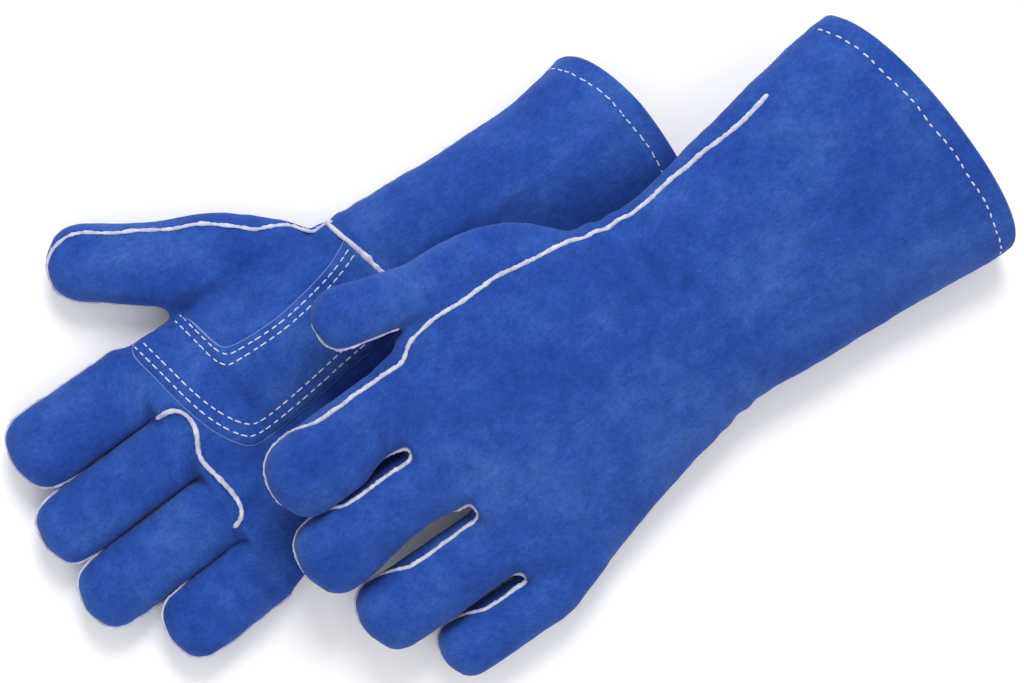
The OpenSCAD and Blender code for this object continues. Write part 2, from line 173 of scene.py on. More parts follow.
def station(glove, y):
    """The row of the glove's table at any y, smoothly between the listed ones."""
    rows = np.array(glove["rows"], float)[::-1]
    ys = rows[:, 0]
    y = np.asarray(y, float)
    total = np.zeros(y.shape + (7,))
    for shift, weight in ((-9, 0.25), (0, 0.5), (9, 0.25)):
        at = np.clip(y + shift, ys[0], ys[-1])
        for k in range(7):
            total[..., k] += weight * np.interp(at, ys, rows[:, k])
    total[..., 0] = y
    return total


def to_mesh(name, verts, faces):
    mesh = bpy.data.meshes.new(name)
    mesh.from_pydata([tuple(v) for v in verts], [], [tuple(f) for f in faces])
    mesh.update()
    return mesh


def to_object(name, verts, faces, material, normals=None):
    mesh = to_mesh(name, verts, faces)
    mesh.polygons.foreach_set("use_smooth", [True] * len(mesh.polygons))
    if normals is not None:
        mesh.normals_split_custom_set_from_vertices([tuple(n) for n in normals])
    mesh.materials.append(material)
    obj = bpy.data.objects.new(name, mesh)
    bpy.context.scene.collection.objects.link(obj)
    return obj


# ---- where the CAD lays the two gloves ----

def turned(angle, axis):
    return np.array(Matrix.Rotation(math.radians(angle), 3, axis))


# each glove's turn, from its own frame in millimetres to metres, and its origin
FRAMES = {
    "left": (turned(17, "Y") * MM, np.array([62.4784, 72.0457, 33.0]) * MM),
    "right": (turned(-1, "Z") @ np.diag([1, 1, -1]) * MM, np.array([-14.5216, -25.9543, 11.0]) * MM),
}


# ---- bending the straight, spread glove into the way it lies ----

def opened(glove, slot, y):
    """How far a slot of the spread glove has opened at y, from 0 to 1."""
    return ease((glove["webs"][slot] + 2 - y) / SPREAD_RAMP)


def finger_shift(glove, k, y):
    """How far finger k stands aside at y in the spread glove."""
    return SPREAD / 2 * sum(opened(glove, j, y) * (1 if j < k else -1) for j in range(3))


def slot_x(glove, j, y):
    """The middle of slot j at y in the spread glove."""
    aside = SPREAD / 2 * sum(opened(glove, i, y) * (1 if i < j else -1) for i in range(3) if i != j)
    return (glove["spans"][j][1] + glove["spans"][j + 1][0]) / 2 + aside


def digit_of(glove, points):
    """0 to 3 for the fingers, 4 for the thumb, -1 for the hand, for points of the spread glove."""
    label = np.full(len(points), -1)
    x, y = points[:, 0], points[:, 1]
    for k in range(4):
        low = -1e3 if k == 0 else slot_x(glove, k - 1, y)
        high = 1e3 if k == 3 else slot_x(glove, k, y)
        label[(y < glove["web"] + 3) & (x > low) & (x <= high)] = k
    a, b = (np.array(p, float) for p in glove["thumb_base"])
    side = (x - a[0]) * (b[1] - a[1]) - (y - a[1]) * (b[0] - a[0])
    beyond = side > 0
    crotch_cut = thumb_crotch_line(glove, x, y)
    label[beyond & (y < a[1] + 6) & crotch_cut] = 4
    return label


def thumb_crotch_line(glove, x, y):
    """Points on the thumb's side of the line that splits thumb and index past the crotch."""
    b = np.array(glove["thumb_base"][1], float)
    angle = math.radians(glove["thumb_angle"] * 0.55)
    way = np.array([-math.sin(angle), -math.cos(angle)])
    return (y > b[1]) | ((x - b[0]) * way[1] - (y - b[1]) * way[0] > 0)


def lie_down(hand, points, label=None):
    """Moves points of the straight, spread glove to where they lie, still in the glove's frame."""
    glove = GLOVES[hand]
    p = np.array(points, float).reshape(-1, 3)
    label = digit_of(glove, p) if label is None else np.full(len(p), label)
    for k in range(4):
        m = label == k
        p[m, 0] -= finger_shift(glove, k, p[m, 1])
        p[m, 0] += glove["lean"][k] * np.maximum(0, glove["web"] - p[m, 1])
    m = label == 4
    if glove["thumb_swing"]:
        a, b = (np.array(q, float) for q in glove["thumb_base"])
        pivot = b + (a - b) * 0.25
        normal = np.array([a[1] - b[1], b[0] - a[0]])
        normal = -normal / np.linalg.norm(normal)
        reach = (p[m, :2] - b) @ normal
        turn = -math.radians(glove["thumb_swing"]) * ease(reach / 25.0)
        d = p[m, :2] - pivot
        c, s = np.cos(turn), np.sin(turn)
        p[m, 0] = pivot[0] + c * d[:, 0] - s * d[:, 1]
        p[m, 1] = pivot[1] + s * d[:, 0] + c * d[:, 1]
    row = station(glove, np.clip(p[:, 1], -HAND_L, CUFF_L))
    u = np.clip((p[:, 0] - (row[:, 1] + row[:, 2]) / 2) / ((row[:, 2] - row[:, 1]) / 2), -1, 1)
    rest = label != 4
    p[rest, 1] += (row[:, 5] * np.sqrt(np.maximum(0, 1 - u * u)))[rest]
    p[rest, 1] += (glove["skew"] * (u - 0.35) * ease(p[:, 1] / glove["cuff"]))[rest]
    if glove["floor"] is not None:
        floor = glove["floor"]
        share = row[:, 6] * np.where(p[:, 1] < -HAND_L, 1 - ease((-HAND_L - p[:, 1]) / 12), 1)
        keep = 1 - share * np.clip((u + 0.35) / 1.35, 0, 1) * rest
        soft = np.minimum(p[:, 2], floor) * 0.999
        p[:, 2] = floor - (floor - soft) * keep
    return p


def placed(hand, points, label=None):
    """Points of the straight glove where they lie in the row's frame, in metres."""
    turn, origin = FRAMES[hand]
    return lie_down(hand, points, label) @ turn.T + origin


def from_plan(hand, plan):
    """Where a point of the glove's plan lies in the row's frame, in metres, at no height."""
    turn, origin = FRAMES[hand]
    at = turn @ np.array([plan[0] / (turn[0, 0] / MM), plan[1], 0.0]) + origin
    return np.array([at[0], at[1], 0.0])


# ---- the skin ----

RING = 48           # points round a loft


def loft(rings):
    """A closed tube through rings of points, capped at both ends."""
    count = len(rings[0])
    verts = [p for ring in rings for p in ring]
    faces = []
    for i in range(len(rings) - 1):
        for j in range(count):
            a, b = i * count + j, i * count + (j + 1) % count
            faces.append((a, b, b + count, a + count))
    faces.append(tuple(reversed(range(count))))
    faces.append(tuple(range((len(rings) - 1) * count, len(rings) * count)))
    return verts, faces


def section(middle, half, across, up, back, palm):
    """One ring: a rounded section about a middle, `half` wide each way along `across`."""
    ring = []
    for j in range(RING):
        t = 2 * math.pi * j / RING
        u, v = power(math.cos(t), 2 / SQUARE), power(math.sin(t), 2 / SQUARE)
        ring.append(Vector(middle) + Vector(across) * half * u + Vector(up) * (back if v > 0 else palm) * v)
    return ring


def hand_loft(glove):
    rings = []
    for y in np.append(np.arange(glove["cuff"] + 12, glove["web"] + 2, -4.0), glove["web"] + 1):
        row = station(glove, np.array(y))
        tuck = 1.0 if y > -HAND_L + 8 else 0.96
        back, palm = row[3] + (3.0 if glove["floor"] else 0.0), row[4]
        rings.append(section(((row[1] + row[2]) / 2, y, 0), (row[2] - row[1]) / 2 * tuck, (1, 0, 0), (0, 0, 1),
                             back * tuck, palm * tuck))
    return loft(rings)


def round_tip(s, blunt):
    """Width left at a share s of a digit's length, whose tip starts to round at `blunt`."""
    return 1.0 if s < blunt else max(0.02, 1 - ((s - blunt) / (1 - blunt)) ** 2.7) ** 0.45


def finger_loft(glove, k):
    low, high = glove["spans"][k]
    middle = (low + high) / 2
    half = (high - low) / 2
    back, palm = glove["finger_h"]
    length = glove["lengths"][k]
    slim = 0.93 if k == 3 else 1.0
    rings = []
    start = -HAND_L + 26
    for i in range(34):
        s = i / 33
        y = start - (length + 26) * s
        tip = round_tip(s, 1 - (half * 0.9) / (length + 26))
        swell = 1 + 0.025 * math.sin(math.pi * min(1, max(0, (-HAND_L - y) / length)))
        inside = min(1.0, 1 - (y + HAND_L) / 26 * 0.14)
        root = min(1.0, 1 - (y + HAND_L) / 26 * 0.5)
        high_part = 0.3 + 0.7 * tip
        shrink = 0.0
        if k < 3:
            gap, reach = glove["slots"][k]
            shrink = gap * math.sin(math.pi * min(1.0, max(0.0, (glove["webs"][k] + 8 - y) / reach)))
        rings.append(section(
            (middle + float(finger_shift(glove, k, y)) - shrink / 2, y, 0),
            (half - shrink / 2) * tip * swell * root, (1, 0, 0), (0, 0, 1),
            back * slim * high_part * inside, palm * slim * high_part * inside))
    return loft(rings)


def thumb_axis(glove):
    """Ends and middle of the thumb's root, the way the thumb points, and the way across it."""
    a, b = (np.array(p, float) for p in glove["thumb_base"])
    angle = math.radians(glove["thumb_angle"])
    way = np.array([-math.sin(angle), -math.cos(angle)])
    return a, b, (a + b) / 2, way, np.array([-way[1], way[0]])


def thumb_loft(glove):
    a, b, base, way, across = thumb_axis(glove)
    rings = []
    steps = 34
    for i in range(steps):
        s = -0.3 + 1.3 * i / (steps - 1)
        turn = float(ease((s + 0.05) * 1.9))
        half_base = np.linalg.norm(b - a) / 2 * 0.93
        full = half_base * (1 - turn) + glove["thumb_w"] * (1.06 - 0.12 * s) * turn
        tip = round_tip(s, 1 - glove["thumb_w"] * 1.1 / glove["thumb_l"])
        aim = (b - a) / np.linalg.norm(b - a) * (1 - turn) + across * turn
        aim /= np.linalg.norm(aim)
        middle = base + way * glove["thumb_l"] * s
        inside = 0.9 if s < 0 else 1.0
        tall = (0.3 + 0.7 * tip) * inside
        back, palm = glove["thumb_h"]
        rings.append(section((middle[0], middle[1], glove["thumb_z"]), full * tip * inside,
                             (aim[0], aim[1], 0), (0, 0, 1), back * tall, palm * tall))
    return loft(rings)


def remesh(name, parts):
    verts, faces = [], []
    for v, f in parts:
        shift = len(verts)
        verts += v
        faces += [tuple(i + shift for i in face) for face in f]
    mesh = to_mesh(name, verts, faces)
    bm = bmesh.new()
    bm.from_mesh(mesh)
    bmesh.ops.recalc_face_normals(bm, faces=bm.faces)
    bm.to_mesh(mesh)
    bm.free()
    obj = bpy.data.objects.new(name, mesh)
    bpy.context.scene.collection.objects.link(obj)
    grid = obj.modifiers.new("grid", "REMESH")
    grid.mode = "VOXEL"
    grid.voxel_size = VOXEL
    even = obj.modifiers.new("even", "SMOOTH")
    even.factor = 0.5
    even.iterations = 7
    graph = bpy.context.evaluated_depsgraph_get()
    done = bpy.data.meshes.new_from_object(obj.evaluated_get(graph))
    bpy.data.objects.remove(obj)
    return done


def cut_mouth(mesh, rim):
    """Opens the gauntlet at its hem and turns the edge in, as a folded hem."""
    bm = bmesh.new()
    bm.from_mesh(mesh)
    bmesh.ops.bisect_plane(bm, geom=bm.verts[:] + bm.edges[:] + bm.faces[:], dist=0.01,
                           plane_co=(0, rim, 0), plane_no=(0, 1, 0), clear_outer=True)
    edges = [e for e in bm.edges if e.is_boundary]
    middle = sum((e.verts[0].co for e in edges), Vector()) / len(edges)
    # each step of the turned edge: how far in from the leather's face, and how far along
    steps = ((0.5, 0.9), (1.5, 1.5), (2.6, 1.3), (3.4, 0.4), (3.7, -1.5), (3.8, -14.0))
    previous = (0.0, 0.0)
    for inward, along in steps:
        made = bmesh.ops.extrude_edge_only(bm, edges=edges)["geom"]
        verts = [g for g in made if isinstance(g, bmesh.types.BMVert)]
        edges = [g for g in made if isinstance(g, bmesh.types.BMEdge) and g.is_boundary]
        for v in verts:
            out = Vector((v.co.x - middle.x, 0, v.co.z - middle.z))
            out = Vector((out.x * 0.35, 0, out.z)).normalized()
            v.co -= out * (inward - previous[0])
            v.co.y += along - previous[1]
        previous = (inward, along)
    bm.normal_update()
    bmesh.ops.recalc_face_normals(bm, faces=bm.faces)
    bm.to_mesh(mesh)
    bm.free()
    return mesh


# ---- leather that has been worn and laid down: soft swells, dents and wrinkles ----

def wave(p, size, seed):
    return noise.noise(Vector((p[0] / size + seed, p[1] / size - seed, p[2] / size + 2 * seed)))


def folds(hand, p, label):
    """How far out the leather stands at a point of the straight glove, in millimetres."""
    seed = 3.7 if hand == "left" else 11.3
    on_digit = label >= 0
    out = wave(p, 48.0, seed) * (0.9 if on_digit else 1.7)
    out += wave(p, 19.0, seed + 5) * (0.55 if on_digit else 0.6)
    out += wave((p[0] * 0.6, p[1] * 1.5, p[2]), 9.0, seed + 9) * 0.28
    # the leather gathers across the wrist
    gather = math.exp(-((p[1] + 4) / 16.0) ** 2)
    out += gather * (0.5 * math.sin(p[1] * 0.55 + 2.2 * wave(p, 30.0, seed + 2)) - 0.5)
    return out


def creases(points):
    """How deep the palm's valleys are at points of the straight glove."""
    depth = np.zeros(len(points))
    for line, deep, width in CREASES:
        depth += deep * np.exp(-(distance_to_line(points[:, :2], line) / width) ** 2)
    return depth * (points[:, 2] < 0)


# valleys in either palm: line in plan, depth, width
CREASES = [
    (((-46, -80), (-36, -81), (-18, -80.5), (0, -79), (10, -80)), 3.6, 4.2),
    (((-60, -80), (-50, -66), (-42, -54)), 1.8, 5.0),
    (((8, -60), (20, -84), (38, -100)), 1.4, 8.0),
    (((-20, -112), (0, -113), (22, -110)), 1.5, 5.0),
]


def distance_to_line(points, line):
    """How far each point of the plan lies from a line of points."""
    q = np.array(points, float).reshape(-1, 2)
    ends = np.array(line, float)
    best = np.full(len(q), 1e9)
    for a, b in zip(ends, ends[1:]):
        way = b - a
        t = np.clip((q - a) @ way / max(way @ way, 1e-12), 0, 1)
        best = np.minimum(best, np.linalg.norm(q - a - t[:, None] * way, axis=1))
    return best


def mesh_arrays(mesh):
    co = np.zeros(len(mesh.vertices) * 3)
    mesh.vertices.foreach_get("co", co)
    normal = np.zeros(len(mesh.vertices) * 3)
    mesh.vertices.foreach_get("normal", normal)
    return co.reshape(-1, 3), normal.reshape(-1, 3), [tuple(p.vertices) for p in mesh.polygons]


def web_loft(glove, slot):
    """Fills a slot that ends further out than the hand's own edge."""
    back, palm = glove["finger_h"]
    rings = []
    for y in np.arange(glove["web"] + 8, glove["webs"][slot] + 1, -3.0):
        rings.append(section((float(slot_x(glove, slot, y)), y, 0), 12.0, (1, 0, 0), (0, 0, 1),
                             back * 0.95, palm * 0.9))
    return loft(rings)


def build_skin(hand):
    glove = GLOVES[hand]
    parts = [hand_loft(glove)] + [finger_loft(glove, k) for k in range(4)] + [thumb_loft(glove)]
    parts += [web_loft(glove, j) for j in range(3) if glove["webs"][j] < glove["web"] - 4]
    mesh = cut_mouth(remesh(hand + "_raw", parts), glove["cuff"])
    co, normal, faces = mesh_arrays(mesh)
    label = digit_of(glove, co)
    height = np.array([folds(hand, p, k) for p, k in zip(co, label)]) - creases(co)
    fade = ease((glove["cuff"] + 1 - co[:, 1]) / 6.0)
    straight = co + normal * (height * fade)[:, None]
    final = placed(hand, straight)
    whole = to_mesh(hand + "_whole", final, faces)
    _, smooth_normals, _ = mesh_arrays(whole)
    centres = np.array([straight[list(f)].mean(0) for f in faces])
    return {
        "straight": straight, "final": final, "faces": faces, "normals": smooth_normals,
        "face_label": digit_of(glove, centres), "centres": centres,
        "straight_tree": BVHTree.FromPolygons([Vector(p) for p in straight], faces),
        "tree": BVHTree.FromPolygons([Vector(p) for p in final], faces),
    }


# ---- materials ----

def node_material(name, roughness):
    material = bpy.data.materials.new(name)
    material.use_nodes = True
    nodes = material.node_tree.nodes
    shader = nodes["Principled BSDF"]
    shader.inputs["Roughness"].default_value = roughness
    shader.inputs["Specular IOR Level"].default_value = 0.2
    rest = nodes.new("ShaderNodeAttribute")
    rest.attribute_name = "rest"
    return material, nodes, material.node_tree.links, shader, rest.outputs["Vector"]


def grain(nodes, links, where, scale, detail=3.0, roughness=0.6, stretch=None):
    if stretch:
        lay = nodes.new("ShaderNodeMapping")
        lay.inputs["Scale"].default_value = stretch
        links.new(where, lay.inputs["Vector"])
        where = lay.outputs["Vector"]
    tex = nodes.new("ShaderNodeTexNoise")
    tex.inputs["Scale"].default_value = scale
    tex.inputs["Detail"].default_value = detail
    tex.inputs["Roughness"].default_value = roughness
    links.new(where, tex.inputs["Vector"])
    return tex.outputs["Fac"]


def ramp(nodes, links, source, stops):
    node = nodes.new("ShaderNodeValToRGB")
    while len(node.color_ramp.elements) < len(stops):
        node.color_ramp.elements.new(0.5)
    for element, (at, colour) in zip(node.color_ramp.elements, stops):
        element.position = at
        element.color = (*colour, 1)
    links.new(source, node.inputs["Fac"])
    return node.outputs["Color"]


def mix(nodes, links, kind, amount, a, b):
    node = nodes.new("ShaderNodeMix")
    node.data_type = "RGBA"
    node.blend_type = kind
    node.inputs["Factor"].default_value = amount
    links.new(a, node.inputs[6])
    links.new(b, node.inputs[7])
    return node.outputs[2]


def bumps(nodes, links, shader, layers):
    last = None
    for source, strength, depth in layers:
        node = nodes.new("ShaderNodeBump")
        node.inputs["Strength"].default_value = strength
        node.inputs["Distance"].default_value = depth * MM
        links.new(source, node.inputs["Height"])
        if last:
            links.new(last, node.inputs["Normal"])
        last = node.outputs["Normal"]
    links.new(last, shader.inputs["Normal"])


def srgb(r, g, b):
    return tuple((c / 255 / 12.92) if c <= 10 else ((c / 255 + 0.055) / 1.055) ** 2.4 for c in (r, g, b))


def suede():
    """Split leather dyed royal blue. `rest` is in millimetres, so 1 / scale is a size in mm."""
    material, nodes, links, shader, where = node_material("blue_suede", 0.95)
    broad = grain(nodes, links, where, 0.03, 4.0, 0.6)
    patches = grain(nodes, links, where, 0.11, 5.0, 0.7)
    nap = grain(nodes, links, where, 0.7, 4.0, 0.75, (1.0, 0.5, 1.0))
    fibre = grain(nodes, links, where, 1.9, 3.0, 0.8)
    base = ramp(nodes, links, broad, [(0.3, srgb(22, 57, 136)), (0.5, srgb(31, 67, 145)), (0.72, srgb(47, 82, 155))])
    tone = ramp(nodes, links, patches, [(0.34, (0.33, 0.36, 0.4)), (0.5, (0.5, 0.5, 0.5)), (0.66, (0.7, 0.66, 0.6))])
    brushed = ramp(nodes, links, nap, [(0.32, (0.33, 0.35, 0.38)), (0.5, (0.5, 0.5, 0.5)), (0.68, (0.66, 0.64, 0.61))])
    flecks = ramp(nodes, links, fibre,
                  [(0.3, (0.34, 0.36, 0.38)), (0.56, (0.52, 0.52, 0.52)), (0.7, (0.92, 0.86, 0.76))])
    colour = mix(nodes, links, "OVERLAY", 0.6, base, tone)
    colour = mix(nodes, links, "OVERLAY", 0.75, colour, brushed)
    colour = mix(nodes, links, "OVERLAY", 0.7, colour, flecks)
    links.new(colour, shader.inputs["Base Color"])
    shader.inputs["Sheen Weight"].default_value = 0.12
    shader.inputs["Sheen Roughness"].default_value = 0.5
    shader.inputs["Sheen Tint"].default_value = (0.55, 0.7, 1.0, 1.0)
    bumps(nodes, links, shader, [(patches, 0.35, 0.9), (nap, 0.5, 0.35), (fibre, 0.6, 0.14)])
    return material


def pale_leather():
    material, nodes, links, shader, where = node_material("welt_leather", 0.9)
    blotch = grain(nodes, links, where, 0.25, 4.0, 0.6)
    fuzz = grain(nodes, links, where, 2.4, 3.0, 0.75)
    base = ramp(nodes, links, blotch,
                [(0.3, srgb(158, 162, 188)), (0.55, srgb(190, 193, 210)), (0.8, srgb(212, 213, 222))])
    dust = ramp(nodes, links, fuzz, [(0.3, (0.4, 0.41, 0.45)), (0.7, (0.58, 0.58, 0.57))])
    links.new(mix(nodes, links, "OVERLAY", 0.7, base, dust), shader.inputs["Base Color"])
    bumps(nodes, links, shader, [(fuzz, 0.7, 0.3)])
    return material


def cloth(name, low, high, size):
    material, nodes, links, shader, where = node_material(name, 0.95)
    pile = grain(nodes, links, where, 1 / size, 4.0, 0.7)
    links.new(ramp(nodes, links, pile, [(0.3, low), (0.7, high)]), shader.inputs["Base Color"])
    shader.inputs["Sheen Weight"].default_value = 0.3
    bumps(nodes, links, shader, [(pile, 0.8, 0.6)])
    return material


BLUE = suede()
PALE = pale_leather()
CUT_EDGE = cloth("cut_edge", srgb(74, 100, 172), srgb(120, 142, 200), 0.8)
THREAD = cloth("thread", srgb(186, 192, 220), srgb(226, 229, 240), 0.25)
FLEECE = cloth("fleece_lining", srgb(206, 198, 178), srgb(236, 230, 214), 1.2)
CANVAS = cloth("canvas_lining", srgb(198, 190, 168), srgb(226, 220, 202), 0.5)


# ---- pieces ----

def hold(hand, obj, label, nodes):
    """Hides the CAD nodes a piece stands for, and puts a piece of the hand on the hand's body; a digit's piece is left
    on no body.
    """
    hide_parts(*nodes)
    body = hand + "_hand"
    if label < 0:
        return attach(obj, body)
    glove = GLOVES[hand]
    if label < 4:
        middle = sum(glove["spans"][label]) / 2
        start, end = (middle, glove["web"] + 1, 0), (middle, glove["web"] - 29, 0)
    else:
        a, b = (np.array(q, float) for q in glove["thumb_base"])
        angle = math.radians(glove["thumb_angle"] + glove["thumb_swing"])
        base = (a + b) / 2
        start, end = (*base, 0), (base[0] - math.sin(angle) * 30, base[1] - math.cos(angle) * 30, 0)
    turn, origin = FRAMES[hand]
    start, end = turn @ np.array(start) + origin, turn @ np.array(end) + origin
    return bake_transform(obj)


def digit_name(label):
    return (*DIGITS, "thumb")[label]


def add_rest(obj, rest):
    attribute = obj.data.attributes.new("rest", "FLOAT_VECTOR", "POINT")
    attribute.data.foreach_set("vector", np.asarray(rest, np.float32).ravel())


def skin_piece(hand, skin, name, chosen, label, nodes):
    """One leather panel: the chosen faces of the skin, with the whole skin's normals."""
    faces = [skin["faces"][i] for i in np.flatnonzero(chosen)]
    used = sorted({v for f in faces for v in f})
    at = {v: i for i, v in enumerate(used)}
    obj = to_object(name, skin["final"][used], [tuple(at[v] for v in f) for f in faces], BLUE,
                    normals=skin["normals"][used])
    add_rest(obj, skin["straight"][used])
    return hold(hand, obj, label, nodes)


def panels(hand, skin):
    label, centre = skin["face_label"], skin["centres"]
    back = centre[:, 2] >= 0
    for k in range(5):
        for side, above in (("back", True), ("front", False)):
            node = f"{hand}_{digit_name(k)}_{side}"
            skin_piece(hand, skin, "v_" + node, (label == k) & (back == above), k, [node])
    on_hand = label < 0
    skin_piece(hand, skin, f"v_{hand}_back_panel", on_hand & back, -1, [hand + "_back_panel"])
    cuff = centre[:, 1] > 0
    skin_piece(hand, skin, f"v_{hand}_cuff_front", on_hand & ~back & cuff, -1, [hand + "_cuff_front"])
    skin_piece(hand, skin, f"v_{hand}_palm_panel", on_hand & ~back & ~cuff, -1, [hand + "_palm_panel"])


# ---- welts ----

def along(points, step):
    """Even points along a line of points, and how far along each one lies."""
    p = np.array(points, float)
    run = np.concatenate([[0], np.cumsum(np.linalg.norm(np.diff(p, axis=0), axis=1))])
    keep = np.concatenate([[True], np.diff(run) > 1e-6])
    run, p = run[keep], p[keep]
    at = np.linspace(0, run[-1], max(2, int(run[-1] / step) + 1))
    even = np.stack([np.interp(at, run, p[:, i]) for i in range(p.shape[1])], 1)
    for _ in range(2):
        even[1:-1] = (even[:-2] + 2 * even[1:-1] + even[2:]) / 4
    return even, at


# corners of a welt's cut across: share of its thickness, share of how far it stands out
WELT_SHAPE = [(-0.5, -0.7), (-0.56, 0.0), (-0.52, 0.6), (-0.34, 0.95), (0.0, 1.06),
              (0.34, 0.95), (0.52, 0.6), (0.56, 0.0), (0.5, -0.7)]


def strip(points, outs, sides, thick, stand, seed):
    """A welt: rings of WELT_SHAPE along the points, a little uneven as cut leather is."""
    count = len(WELT_SHAPE)
    verts, faces = [], []
    total = len(points)
    for i, (p, out, side) in enumerate(zip(points, outs, sides)):
        here = p * 0.35
        t = thick * (1 + 0.3 * wave(here, 1.3, seed) + 0.35 * wave(here, 0.45, seed + 1))
        h = stand * (1 + 0.35 * wave(here, 1.7, seed + 2) + 0.5 * wave(here, 0.5, seed + 3))
        end = min(1.0, (min(i, total - 1 - i) + 0.6) / 1.6)
        for a, b in WELT_SHAPE:
            verts.append(p + side * (t * a * end) + out * (h * b * end))
    for i in range(total - 1):
        for j in range(count):
            a, b = i * count + j, i * count + (j + 1) % count
            faces.append((a, b, b + count, a + count))
    faces.append(tuple(range(count - 1, -1, -1)))
    faces.append(tuple(range((total - 1) * count, total * count)))
    return np.array(verts), faces


def welt_object(name, made, material, rest):
    verts, faces = [], []
    for v, f in made:
        shift = len(verts)
        verts += list(v)
        faces += [tuple(i + shift for i in face) for face in f]
    obj = to_object(name, verts, faces, material)
    bm = bmesh.new()
    bm.from_mesh(obj.data)
    bmesh.ops.recalc_face_normals(bm, faces=bm.faces)
    bm.to_mesh(obj.data)
    bm.free()
    obj.data.polygons.foreach_set("use_smooth", [True] * len(obj.data.polygons))
    add_rest(obj, np.array(rest))
    return obj


def outward(points, tip):
    """Directions across a line of points in the plan, pointing away from `tip`."""
    way = np.gradient(points, axis=0)
    out = np.stack([way[:, 1], -way[:, 0], np.zeros(len(way))], 1)
    out /= np.maximum(np.linalg.norm(out, axis=1), 1e-9)[:, None]
    middle = len(points) // 2
    if (points[middle] - tip) @ out[middle] < 0:
        out = -out
    return out


def hit(tree, start, way, reach=60.0):
    found = tree.ray_cast(Vector(start), Vector(way).normalized(), reach)
    return None if found[0] is None else np.array(found[0])


def slot_centre(glove, k):
    """Middle of the slot between fingers k and k + 1 of the spread glove, near its end."""
    y = glove["webs"][k] - 11.0
    return float(slot_x(glove, k, y)), y


def finger_line(hand, skin, k):
    """The seam of a finger on the straight skin: down its thumb side, round its tip, and back."""
    glove = GLOVES[hand]
    tree = skin["straight_tree"]
    low, high = glove["spans"][k]
    near = glove["webs"][max(0, k - 1)] - 11
    far = glove["webs"][min(2, k)] - 11
    half = (high - low) / 2
    tip = -HAND_L - glove["lengths"][k]
    turn_at = tip + half * 1.05
    points = []

    def middle_at(y):
        return (low + high) / 2 + float(finger_shift(glove, k, y))

    middle = middle_at(turn_at)

    def seam_z(y, beyond=False):
        from_z = glove["far_z"] if beyond else glove["side_z"]
        return from_z + (glove["tip_z"] - from_z) * float(ease((turn_at + 16 - y) / 22.0))

    def add(start, way, reach):
        found = hit(tree, start, way, reach)
        if found is not None:
            points.append(found)

    def crotch(j, angles):
        x, y = slot_centre(glove, j)
        for angle in angles:
            share = float(ease((angle - math.pi / 2) / (math.pi / 2)))
            z = glove["side_z"] + (glove["far_z"] - glove["side_z"]) * share
            add((x, y, z), (math.cos(angle), math.sin(angle), 0), 22.0)

    if k == 0:
        near = glove["web"] + 4
    else:
        crotch(k - 1, np.linspace(math.pi / 2, 0, 9))
    for y in np.arange(near, turn_at, -2.0):
        add((middle_at(y), y, seam_z(y)), (-1, 0, 0), half + 6)
    for angle in np.linspace(math.pi, 2 * math.pi, 25):
        y = turn_at + math.sin(angle) * half
        add((middle, turn_at, seam_z(y, math.cos(angle) > 0)), (math.cos(angle), math.sin(angle), 0), half + 8)
    for y in np.arange(turn_at, glove["web"] + 3 if k == 3 else far, 2.0):
        add((middle_at(y), y, seam_z(y, True)), (1, 0, 0), half + 6)
    if k < 3:
        crotch(k, np.linspace(math.pi, math.pi / 2, 9))
    return points, np.array((middle, turn_at, 0.0))


def thumb_line(hand, skin):
    """The seam of the thumb on the straight skin, from the wrist round its tip to the crotch."""
    glove = GLOVES[hand]
    tree = skin["straight_tree"]
    a, _, base, way, across = thumb_axis(glove)
    wide = glove["thumb_w"]
    turn_at = base + way * (glove["thumb_l"] - wide)
    root_z, outer_z, inner_z = glove["thumb_seam"]
    points = []

    def add(start, direction, z, reach):
        found = hit(tree, (*start, z), (*direction, 0), reach)
        if found is not None:
            points.append(found)

    for y in glove["thumb_root"]:
        add((-30.0, y), (-1.0, 0.0), root_z, 45.0)
    for t in np.linspace(0.06, 1, 16):
        toward = (a - base) * (1 - t) - across * np.linalg.norm(a - base) * t
        add(base, toward, root_z + (outer_z - root_z) * float(ease(t * 1.3)), 60.0)
    for s in np.arange(2.0, glove["thumb_l"] - wide, 2.0):
        add(base + way * s, -across, outer_z, 52.0)
    for t in np.linspace(0, math.pi, 25):
        share = float(ease(t / math.pi * 1.4 - 0.4))
        add(turn_at, -across * math.cos(t) + way * math.sin(t), outer_z + (inner_z - outer_z) * share, wide + 10)
    for s in np.arange(glove["thumb_l"] - wide, 42.0, -2.0):
        add(base + way * s, across, inner_z, 24.0)
    return points, np.array((*turn_at, 0.0))


def side_line(hand, skin):
    """The seam down the thumb side of cuff and hand, on the straight skin."""
    glove = GLOVES[hand]
    tree = skin["straight_tree"]
    low, high = glove["thumb_base"][0][1], glove["thumb_base"][1][1]
    points = []
    for y in np.arange(glove["welt_top"], glove["web"], -2.0):
        row = station(glove, np.array(y))
        beside = float(ease((low + 16 - y) / 16.0) * ease((y - high + 12) / 16.0))
        z = glove["side_z"] + (glove["thumb_z"] + glove["thumb_h"][0] + 1.5 - glove["side_z"]) * beside
        z += glove["welt_rise"] * float(ease((y - 25) / 60.0))
        found = hit(tree, ((row[1] + row[2]) / 2, y, z), (-1, 0, 0), 90.0)
        if found is None:
            continue
        # beside the thumb, the seam lies at the foot of the back's own edge
        found[0] = found[0] if beside < 0.02 else max(found[0], row[1] - 2.0)
        points.append(found)
    return points


def edge_welt(hand, name, points, tip, label, nodes, stand, thick, seed):
    """A welt along a seam of the straight skin, laid down with its glove."""
    line, _ = along(points, 0.9)
    outs = outward(line, tip)
    ups = np.tile(np.array([0.0, 0.0, 1.0]), (len(line), 1))
    verts, faces = strip(line, outs, ups, thick, stand, seed)
    obj = welt_object(name, [(placed(hand, verts, label), faces)], PALE, verts)
    return hold(hand, obj, label, nodes)


